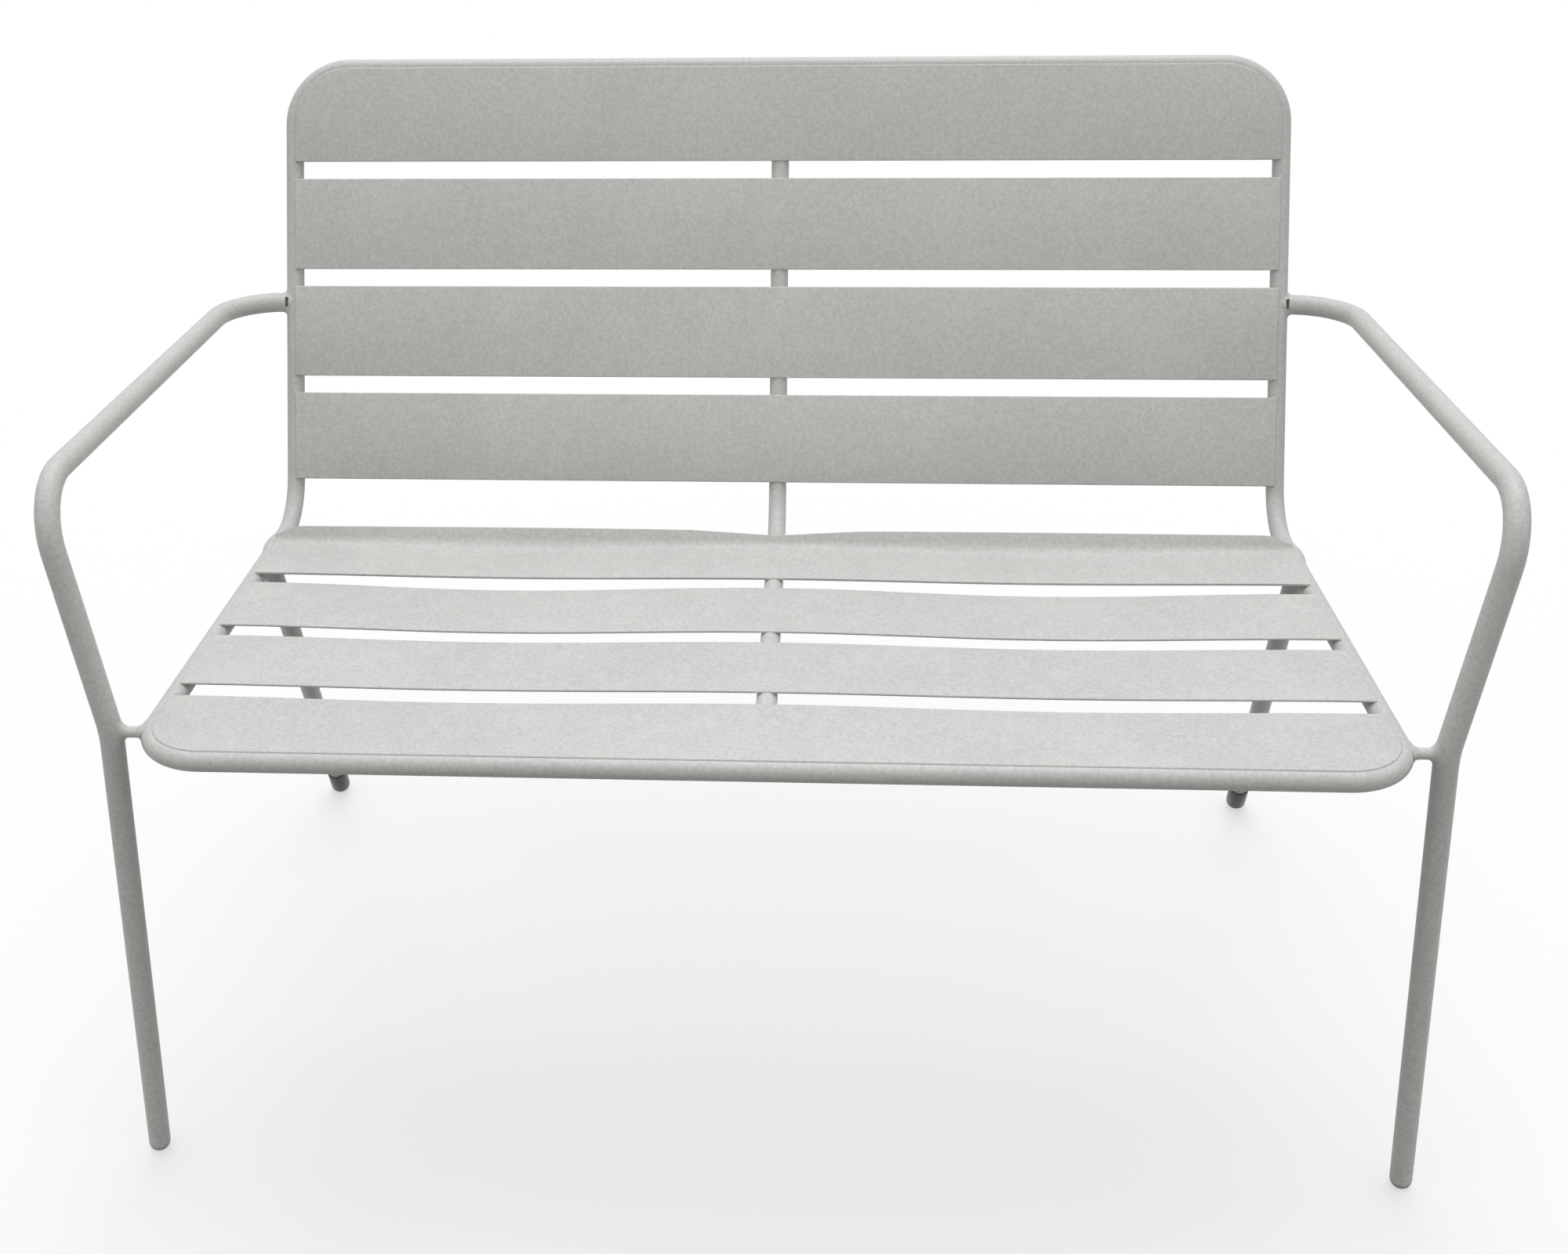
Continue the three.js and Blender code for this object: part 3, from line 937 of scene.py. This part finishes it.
@dataclass
class Slats:
    """The eight sheet steel slats, drawn flat, dished or folded, and laid on the tubes."""

    lines: FrameLines
    paint: Paintshop
    count: int = 4
    thickness: float = 2.2 * MM  # with the coat
    sunk: float = 1.0 * MM  # into the tubes' coat
    end_inset: float = 2 * MM
    seat_width: float = 81 * MM
    seat_pitch: float = 100 * MM
    front_reach: float = 1 * MM
    back_widths: tuple[float, ...] = (87 * MM, 84 * MM, 84 * MM, 81 * MM)
    back_spacing: float = 15.7 * MM
    top_inset: float = 1 * MM
    front_corner: float = 46 * MM
    top_corner: float = 51 * MM
    dip: float = 5.5 * MM
    front_dip: float = 3 * MM
    rear_dip: float = 2 * MM
    fold_dip: float = 6.5 * MM
    lip_fold: float = 59 * MM
    lip_bend: float = 9 * MM
    lip_reach: float = 8 * MM
    lip_sag: float = 4.5 * MM
    lip_sag_width: float = 45 * MM
    lip_taper: float = 7.5 * MM
    lip_taper_width: float = 12 * MM
    lip_segments: int = 10
    end_cut: float = 5 * MM  # between the cuts that let the lip taper at its ends
    end_cuts: int = 5
    edge_round: float = 1.05 * MM
    edge_segments: int = 4
    edge_angle: float = radians(50)
    strips: int = 24
    seat_rows: int = 4
    rear_rows: int = 3
    corner_segments: int = 14

    @property
    def foot(self) -> float:
        """The height of a slat's underside over the tubes' centre line."""
        return self.lines.tube_radius - self.sunk

    @property
    def half_length(self) -> float:
        """Half of a slat's length."""
        return self.lines.half_width - self.end_inset

    @property
    def front_edge(self) -> float:
        """The front edge of the seat, from the heel."""
        return self.lines.seat_depth + self.front_reach

    @property
    def rear_edge(self) -> float:
        """The front edge of the rear seat slat, from the heel."""
        return self.front_edge - (self.count - 1) * self.seat_pitch

    @property
    def top_edge(self) -> float:
        """The top edge of the back, from the heel."""
        return self.lines.back_length - self.top_inset

    def lay(self, piece: bpy.types.Object, along: Vector, normal: Vector) -> None:
        """Puts a slat that is drawn flat, y away from the heel and z up, onto its line.

        Args:
            piece: The slat.
            along: The line's direction.
            normal: The sitter's side.
        """
        sideways = along.cross(normal)
        turn = Matrix((sideways, along, normal)).transposed().to_4x4()
        piece.matrix_world = Matrix.Translation(self.lines.heel) @ turn
        apply_place(piece)

    def flat_sheet(
        self, name: str, near: float, far: float, far_corner: float = 0.0
    ) -> bpy.types.Object:
        """Draws a flat sheet without thickness.

        Args:
            name: The piece's name.
            near: Its edge next to the heel.
            far: Its other edge.
            far_corner: The radius of the corners at its far edge.

        Returns:
            The sheet, in object mode.
        """
        deselect_all()
        bpy.ops.mesh.primitive_plane_add(size=1, location=(0, (near + far) / 2, self.foot))
        piece = bpy.context.object
        piece.name = name
        piece.scale = (2 * self.half_length, far - near, 1)
        apply_place(piece)
        if far_corner:
            select_vertices(piece, lambda at: at.y > far - ON_LINE)
            bpy.ops.mesh.bevel(affect="VERTICES", offset=far_corner, segments=self.corner_segments)
            close_edit()
        return piece

    def cut(self, piece: bpy.types.Object, across: Iterable[float], along: Iterable[float]) -> None:
        """Cuts a sheet into strips with planes.

        Args:
            piece: The sheet.
            across: The places of the cuts that run along y.
            along: The places of the cuts that run along x.
        """
        edit(piece)
        cuts = [((x, 0, 0), (1, 0, 0)) for x in across] + [((0, y, 0), (0, 1, 0)) for y in along]
        for place, normal in cuts:
            bpy.ops.mesh.select_all(action="SELECT")
            bpy.ops.mesh.bisect(plane_co=place, plane_no=normal)
        close_edit()

    def strip_places(self) -> list[float]:
        """The even cuts across a slat, none at its ends."""
        return even_places(-self.half_length, self.half_length, self.strips)

    def dish(self, piece: bpy.types.Object, depth: Callable[[float], float]) -> None:
        """Lets a sheet dip between the side tubes and the middle tube.

        Args:
            piece: The sheet.
            depth: The dip midway between two tubes, at a distance from the heel.
        """
        for vertex in piece.data.vertices:
            share = sin(pi * vertex.co.x / self.half_length) ** 2
            vertex.co.z -= share * depth(vertex.co.y)

    def thicken(self, piece: bpy.types.Object) -> None:
        """Gives a sheet its thickness and breaks its edges.

        Args:
            piece: The sheet, whose underside is drawn.
        """
        face_outward(piece)
        upward = sum(face.normal.z * face.area for face in piece.data.polygons)
        if upward < 0:
            edit(piece)
            bpy.ops.mesh.flip_normals()
            close_edit()
        apply_modifier(
            piece, "SOLIDIFY", thickness=self.thickness, offset=1.0, use_even_offset=True
        )
        round_edges(piece, self.edge_round, self.edge_segments, self.edge_angle)
        tidy_mesh(piece)

    def seat_dip(self, distance: float) -> float:
        """The dip of the seat's slats, most at the third slat's rear edge and none at the front."""
        deepest = (self.count - 2) * self.seat_pitch + self.seat_width
        return self.dip * (self.front_edge - distance) / deepest

    def front_slat_dip(self, distance: float) -> float:
        """The dip of the front slat, none at its front edge."""
        return self.front_dip * (self.front_edge - distance) / self.seat_width

    def rear_slat_dip(self, distance: float) -> float:
        """The dip of the rear slat, most at its fold."""
        from_fold = distance - (self.rear_edge - self.lip_fold)
        return self.fold_dip + (self.rear_dip - self.fold_dip) * from_fold / self.lip_fold

    def build_seat(self) -> None:
        """Builds the seat's slats but the rear one."""
        for i in range(self.count - 1):
            far = self.front_edge - i * self.seat_pitch
            near = far - self.seat_width
            corner = self.front_corner if i == 0 else 0.0
            piece = self.flat_sheet(f"seat_sheet_{i + 1}", near, far, corner)
            self.cut(piece, self.strip_places(), even_places(near, far, self.seat_rows))
            self.dish(piece, self.seat_dip if i else self.front_slat_dip)
            self.thicken(piece)
            self.lay(piece, self.lines.along_seat, self.lines.seat_normal)
            self.paint.dress(piece, "powder_coat_sheet", f"seat_slat_{i + 1}")

    def lip_drop(self, x: float) -> float:
        """How much the lip's top edge dips over the middle tube and at its ends.

        Args:
            x: The place along the lip.

        Returns:
            The drop, along the lip.
        """
        middle = exp(-((x / self.lip_sag_width) ** 2))
        end = exp(-(((self.half_length - abs(x)) / self.lip_taper_width) ** 2))
        return self.lip_sag * middle + self.lip_taper * end

    def build_rear(self) -> None:
        """Builds the rear seat slat, whose rear edge is folded up into a lip."""
        fold = self.rear_edge - self.lip_fold
        piece = self.flat_sheet(f"seat_sheet_{self.count}", fold, self.rear_edge)
        ends = [self.half_length - self.end_cut * (i + 1) for i in range(self.end_cuts)]
        across = self.strip_places() + ends + [-x for x in ends]
        self.cut(piece, across, even_places(fold, self.rear_edge, self.rear_rows))
        self.dish(piece, self.rear_slat_dip)
        select_vertices(piece, lambda at: abs(at.y - fold) < ON_LINE)
        centre = Vector((0, fold, self.foot + self.thickness + self.lip_bend))
        turn = self.lines.heel_turn
        bpy.ops.mesh.spin(steps=self.lip_segments, angle=turn, center=centre, axis=(1, 0, 0))
        up = Vector((0, -cos(turn), sin(turn)))
        bpy.ops.mesh.extrude_region_move(TRANSFORM_OT_translate={"value": up * self.lip_reach})
        close_edit()
        for vertex in piece.data.vertices:
            if vertex.select:
                vertex.co -= up * self.lip_drop(vertex.co.x)
        self.thicken(piece)
        self.lay(piece, self.lines.along_seat, self.lines.seat_normal)
        self.paint.dress(piece, "powder_coat_sheet", f"seat_slat_{self.count}")

    def build_back(self) -> None:
        """Builds the back's slats."""
        far = self.top_edge
        for i, width in enumerate(self.back_widths):
            near = far - width
            corner = self.top_corner if i == 0 else 0.0
            piece = self.flat_sheet(f"back_sheet_{i + 1}", near, far, corner)
            self.thicken(piece)
            self.lay(piece, self.lines.along_back, self.lines.back_normal)
            self.paint.dress(piece, "powder_coat_sheet", f"back_slat_{i + 1}")
            far = near - self.back_spacing

    def build(self) -> None:
        """Builds all eight slats."""
        self.build_seat()
        self.build_rear()
        self.build_back()


# ---- Arms, legs and feet -------------------------------------------------------------------------


@dataclass(frozen=True)
class Foot:
    """A foot's rounded end: half an ellipsoid round the leg's line, cut flat by the ground."""

    radius: float
    rise: float
    flat: float
    segments: int = 48
    rings: int = 24
    edge_round: float = 0.4 * MM
    edge_segments: int = 2
    edge_angle: float = radians(40)
    ground_cut: float = 0.001 * MM  # how near the ground a vertex has to be to count as on it

    def centre(self, above: Vector, ground: Vector) -> Vector:
        """Finds the middle of the rounded end's rim.

        Args:
            above: A point on the leg's centre line.
            ground: Where that line meets the ground.

        Returns:
            The place.
        """
        lean = (above - ground).angle(UP)
        lowest = hypot(self.radius * sin(lean), self.rise * cos(lean))
        height = lowest * sqrt(1 - (self.flat / (2 * self.radius)) ** 2)
        return ground.lerp(above, height / above.z)

    def draw_end(self, up: Vector) -> None:
        """Draws the part that meets the tube, from the face in the rounded end's rim."""

    def build(self, name: str, above: Vector, ground: Vector) -> bpy.types.Object:
        """Builds the foot.

        Args:
            name: The piece's name.
            above: A point on the leg's centre line.
            ground: Where that line meets the ground.

        Returns:
            The foot.
        """
        up = (above - ground).normalized()
        centre = self.centre(above, ground)
        deselect_all()
        bpy.ops.mesh.primitive_uv_sphere_add(
            segments=self.segments, ring_count=self.rings, radius=self.radius
        )
        piece = bpy.context.object
        piece.name = name
        piece.scale.z = self.rise / self.radius
        piece.location = centre
        piece.rotation_euler = up.to_track_quat("Z", "Y").to_euler()
        apply_place(piece)
        edit(piece)
        bpy.ops.mesh.bisect(plane_co=centre, plane_no=up, clear_outer=True, use_fill=True)
        self.draw_end(up)
        round_edges(piece, self.edge_round, self.edge_segments, self.edge_angle)
        edit(piece)
        bpy.ops.mesh.bisect(
            plane_co=(0, 0, 0), plane_no=UP, clear_inner=True, use_fill=True,
            threshold=self.ground_cut,
        )
        close_edit()
        tidy_mesh(piece)
        return piece


@dataclass(frozen=True)
class Glide(Foot):
    """A domed plug, whose stem sits in the leg's tube."""

    radius: float = 8.9 * MM
    rise: float = 8.9 * MM
    flat: float = 8 * MM
    stem_radius: float = 7.2 * MM
    stem: float = 20 * MM

    def draw_end(self, up: Vector) -> None:
        """Draws the stem."""
        bpy.ops.mesh.inset(thickness=self.radius - self.stem_radius)
        bpy.ops.mesh.extrude_region_move(TRANSFORM_OT_translate={"value": up * self.stem})


@dataclass(frozen=True)
class Cap(Foot):
    """A cap, whose skirt sits over the leg's tube."""

    radius: float = 10.3 * MM
    rise: float = 6 * MM
    flat: float = 7 * MM
    wall: float = 1.2 * MM
    skirt: float = 40 * MM

    def draw_end(self, up: Vector) -> None:
        """Draws the skirt and its bore.

        Args:
            up: The way up the leg.
        """
        bpy.ops.mesh.extrude_region_move(TRANSFORM_OT_translate={"value": up * self.skirt})
        bpy.ops.mesh.inset(thickness=self.wall)
        bpy.ops.mesh.extrude_region_move(TRANSFORM_OT_translate={"value": -up * self.skirt})


@dataclass
class Arms:
    """The two arms, each one tube from the back hoop to its foot, and the rods that hold them."""

    lines: FrameLines
    paint: Paintshop
    foot: Glide = Glide()
    radius: float = 8.95 * MM
    root_distance: float = 203.4 * MM
    spread: float = 516 * MM
    rear_bend: float = 50 * MM
    rise: float = radians(1.9)
    elbow_reach: float = 388 * MM
    elbow_bend: float = 50 * MM
    pinch_spread: float = 486 * MM
    pinch_distance: float = 400 * MM
    pinch_bend: float = 80 * MM
    foot_spread: float = 526 * MM
    foot_reach: float = 365 * MM
    rod_radius: float = 4.25 * MM
    root_fillet: float = 4.5 * MM
    rod_fillet: float = 6 * MM

    def ground_point(self, sign: int) -> Vector:
        """Where a front leg's centre line meets the ground."""
        return Vector((sign * self.foot_spread, self.lines.heel.y - self.foot_reach, 0))

    def route(self, side: str) -> list[Corner]:
        """The centre line of one arm.

        Args:
            side: "left" or "right".

        Returns:
            Its corners, from the back hoop down to the glide.
        """
        lines, sign = self.lines, SIDES[side]
        root = lines.on_back(sign * lines.half_width, self.root_distance)
        rear = Vector((sign * self.spread, root.y, root.z))
        elbow_y = lines.heel.y - self.elbow_reach
        elbow = Vector((rear.x, elbow_y, root.z + (root.y - elbow_y) * tan(self.rise)))
        pinch = lines.on_seat(sign * self.pinch_spread, self.pinch_distance)
        return [
            Corner(root + ACROSS * sign * (self.radius - EMBED)),
            Corner(rear, self.rear_bend),
            Corner(elbow, self.elbow_bend),
            Corner(pinch, self.pinch_bend),
            Corner(self.foot.centre(pinch, self.ground_point(sign))),
        ]

    def leg_at_pinch(self, elbow: Vector, pinch: Vector, ground: Vector) -> Bar:
        """The leg's tube in the middle of its slight bend at the seat.

        Args:
            elbow: The corner above the bend.
            pinch: The bend's corner.
            ground: Where the leg's line meets the ground.

        Returns:
            The tube there.
        """
        into = (pinch - elbow).normalized()
        away = (ground - pinch).normalized()
        bow = self.pinch_bend * (1 / cos(into.angle(away) / 2) - 1)  # from the corner to the bend
        middle = pinch + (away - into).normalized() * bow
        return Bar(middle, (into + away).normalized(), self.radius)

    def build_side(self, side: str) -> None:
        """Builds one arm with its root fillet, its rod and its glide.

        Args:
            side: "left" or "right".
        """
        lines, sign = self.lines, SIDES[side]
        outward = ACROSS * sign
        route = self.route(side)
        arm_piece = bend_tube(f"arm_and_leg_{side}", route, self.radius)
        self.paint.dress(arm_piece, "powder_coat_tube", f"arm_tube_{side}")
        root = lines.on_back(sign * lines.half_width, self.root_distance)
        hoop = Bar(root, lines.along_back, lines.tube_radius)
        weld = WeldFillet(Bar(root, outward, self.radius), hoop, self.root_fillet)
        self.paint.dress(weld.build(f"weld_arm_root_{side}"), "powder_coat_tube")

        pinch = route[3].at
        ground = self.ground_point(sign)
        inner = lines.on_seat(sign * lines.half_width, self.pinch_distance)
        leg = self.leg_at_pinch(route[2].at, pinch, ground)
        start = inner + outward * (lines.tube_radius - EMBED)
        end = Vector((leg.at.x - sign * (self.radius - EMBED), inner.y, inner.z))
        rod = bend_tube(f"spacer_bar_{side}", [Corner(start), Corner(end)], self.rod_radius)
        self.paint.dress(rod, "powder_coat_tube", f"spacer_rod_{side}")
        rail = lines.seat_rail(sign, self.pinch_distance)
        to_leg, to_seat = (Bar(inner, way, self.rod_radius) for way in (-outward, outward))
        for name, branch, main in (("seat", to_seat, rail), ("leg", to_leg, leg)):
            weld = WeldFillet(branch, main, self.rod_fillet)
            self.paint.dress(weld.build(f"weld_spacer_{name}_{side}"), "powder_coat_tube")
        node = f"foot_glide_front_{side}"
        self.paint.dress(self.foot.build(f"{node}_domed", pinch, ground), "glide_nylon", node)

    def build(self) -> None:
        """Builds both arms."""
        for side in SIDES:
            self.build_side(side)


@dataclass
class RearLegs:
    """The two straight rear legs, welded to the inner faces of the side tubes."""

    lines: FrameLines
    paint: Paintshop
    foot: Cap = Cap()
    radius: float = 9 * MM
    top_distance: float = 110 * MM
    top_inset: float = 7 * MM
    foot_spread: float = 504 * MM
    foot_reach: float = 190 * MM
    fillet_leg: float = 4 * MM

    def build_side(self, side: str) -> None:
        """Builds one leg with its fillet and its cap.

        Args:
            side: "left" or "right".
        """
        lines, sign = self.lines, SIDES[side]
        top = lines.on_seat(sign * (lines.half_width - self.top_inset), self.top_distance)
        ground = Vector((sign * self.foot_spread, lines.heel.y + self.foot_reach, 0))
        node = f"rear_leg_{side}"
        past_top = top.lerp(ground, -2 * self.radius / top.z)  # to be cut at the seat's plane
        route = [Corner(past_top), Corner(self.foot.centre(top, ground))]
        leg = bend_tube(f"{node}_straight", route, self.radius)
        edit(leg)
        bpy.ops.mesh.bisect(
            plane_co=top, plane_no=lines.seat_normal, clear_outer=True, use_fill=True
        )
        close_edit()
        tidy_mesh(leg)
        self.paint.dress(leg, "powder_coat_tube", node)
        rail = lines.seat_rail(sign, self.top_distance)
        branch = Bar(top, (ground - top).normalized(), self.radius)
        fillet = WeldFillet(branch, rail, self.fillet_leg).build(f"weld_rear_leg_{side}")
        self.paint.dress(fillet, "powder_coat_tube")
        node = f"foot_cap_rear_{side}"
        self.paint.dress(self.foot.build(f"{node}_moulded", top, ground), "cap_plastic", node)

    def build(self) -> None:
        """Builds both legs."""
        for side in SIDES:
            self.build_side(side)


# ---- Studio --------------------------------------------------------------------------------------


@dataclass(frozen=True)
class Lamp:
    """A soft area lamp that is aimed at the bench."""

    name: str
    at: tuple[float, float, float]
    size: float
    watts: float
    color: tuple[float, float, float] = (1.0, 1.0, 1.0)


@dataclass
class Studio:
    """The plain floor, the soft light and the camera."""

    aim: Vector
    floor_size: float = 60.0
    floor_color: tuple[float, float, float] = (0.93, 0.93, 0.93)
    floor_bounce: tuple[float, float, float] = (0.12, 0.12, 0.12)
    floor_glow: float = 0.55
    sky_horizon: tuple[float, float, float] = (0.62, 0.61, 0.58)
    sky_zenith: tuple[float, float, float] = (0.80, 0.82, 0.86)
    floor_fade: tuple[float, float] = (0.9, 2.4)  # where the glow begins to grow, and is full
    lamps: tuple[Lamp, ...] = (
        Lamp("top_softbox", (0.0, 1.2, 6.0), 5.0, 145.0, (0.98, 0.99, 1.0)),
    )
    camera_yaw: float = radians(-3.73)
    camera_pitch: float = radians(-24.8)
    camera_roll: float = radians(-1.05)
    camera_at: tuple[float, float, float] = (0.0363, -1.5132, 1.1518)  # y from the heel
    camera_lens: float = 41.24
    camera_shift: tuple[float, float] = (0.047, -0.08)

    def build_floor(self) -> None:
        """Builds the floor, which looks nearly white and throws little light back up."""
        deselect_all()
        bpy.ops.mesh.primitive_plane_add(size=self.floor_size)
        floor = bpy.context.object
        floor.name = "studio_floor"
        material = bpy.data.materials.new("studio_floor")
        nodes = Nodes.of(material)
        rays = nodes.add("ShaderNodeLightPath").outputs
        seen = nodes.math("MAXIMUM", rays["Is Camera Ray"], rays["Is Glossy Ray"])
        seen = nodes.math("MAXIMUM", seen, rays["Is Transmission Ray"])
        color = nodes.mix_color(seen, (*self.floor_bounce, 1.0), (*self.floor_color, 1.0))
        paper = nodes.add("ShaderNodeBsdfDiffuse", {"Color": color})
        place = nodes.add("ShaderNodeTexCoord").outputs["Object"]
        distance = nodes.add("ShaderNodeVectorMath", {0: place}, operation="LENGTH")
        glowing = nodes.ramp(distance.outputs["Value"], *self.floor_fade, self.floor_glow, 1.0)
        far = nodes.math("MULTIPLY", glowing, seen)
        glow = nodes.add("ShaderNodeEmission", {"Color": (1, 1, 1, 1), "Strength": 1.0})
        shaders = {0: far, 1: paper.outputs[0], 2: glow.outputs[0]}
        surface = nodes.add("ShaderNodeMixShader", shaders)
        nodes.add("ShaderNodeOutputMaterial", {"Surface": surface.outputs[0]})
        floor.data.materials.append(material)

    def build_world(self) -> None:
        """Builds a soft grey sky, brighter overhead, that shows as white."""
        world = bpy.data.worlds.new("studio_world")
        nodes = Nodes.of(world)
        camera_ray = nodes.add("ShaderNodeLightPath").outputs["Is Camera Ray"]
        direction = nodes.add("ShaderNodeTexCoord").outputs["Generated"]
        toward = nodes.add("ShaderNodeSeparateXYZ", {0: direction})
        height = nodes.ramp(toward.outputs["Z"], 0.0, 1.0, 0.0, 1.0)
        shade = nodes.mix_color(height, (*self.sky_horizon, 1.0), (*self.sky_zenith, 1.0))
        seen = nodes.mix_color(camera_ray, shade, (1, 1, 1, 1))
        sky = nodes.add("ShaderNodeBackground", {"Color": seen, "Strength": 1.0})
        nodes.add("ShaderNodeOutputWorld", {"Surface": sky.outputs[0]})
        bpy.context.scene.world = world

    def build_lamps(self) -> None:
        """Hangs the lamps."""
        for lamp in self.lamps:
            at = Vector(lamp.at)
            turn = (at - self.aim).to_track_quat("Z", "Y").to_euler()
            bpy.ops.object.light_add(type="AREA", location=at, rotation=turn)
            light = bpy.context.object
            light.name = lamp.name
            light.data.shape = "DISK"
            light.data.size = lamp.size
            light.data.energy = lamp.watts
            light.data.color = lamp.color

    def build_camera(self, heel_y: float) -> None:
        """Sets the camera up.

        Args:
            heel_y: The heel's place along y, from which the camera's place is measured.
        """
        ahead = Vector((sin(self.camera_yaw), cos(self.camera_yaw), 0))
        level = Vector((cos(self.camera_yaw), -sin(self.camera_yaw), 0))
        forward = ahead * cos(self.camera_pitch) + UP * sin(self.camera_pitch)
        above = level.cross(forward)
        right = level * cos(self.camera_roll) + above * sin(self.camera_roll)
        top = above * cos(self.camera_roll) - level * sin(self.camera_roll)
        place = Vector(self.camera_at) + Vector((0, heel_y, 0))
        bpy.ops.object.camera_add()
        camera = bpy.context.object
        camera.name = "front_camera"
        turn = Matrix((right, top, -forward)).transposed().to_4x4()
        camera.matrix_world = Matrix.Translation(place) @ turn
        camera.data.lens = self.camera_lens
        camera.data.shift_x, camera.data.shift_y = self.camera_shift
        bpy.context.scene.camera = camera

    def build(self, heel_y: float) -> None:
        """Builds the whole studio.

        Args:
            heel_y: The heel's place along y.
        """
        self.build_floor()
        self.build_world()
        self.build_lamps()
        self.build_camera(heel_y)
        bpy.context.scene.view_settings.view_transform = "Standard"


def main() -> None:
    """Builds the bench piece by piece, then the studio."""
    logging.basicConfig(level=logging.INFO, format="%(name)s: %(message)s")
    lines = FrameLines.from_frame()
    paint = Paintshop()
    HoopFrame(lines, paint).build()
    Slats(lines, paint).build()
    Arms(lines, paint).build()
    RearLegs(lines, paint).build()
    deselect_all()
    Studio(aim=(CAD_BOX[0] + CAD_BOX[1]) / 2).build(lines.heel.y)
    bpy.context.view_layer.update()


if __name__ == "__main__":
    main()
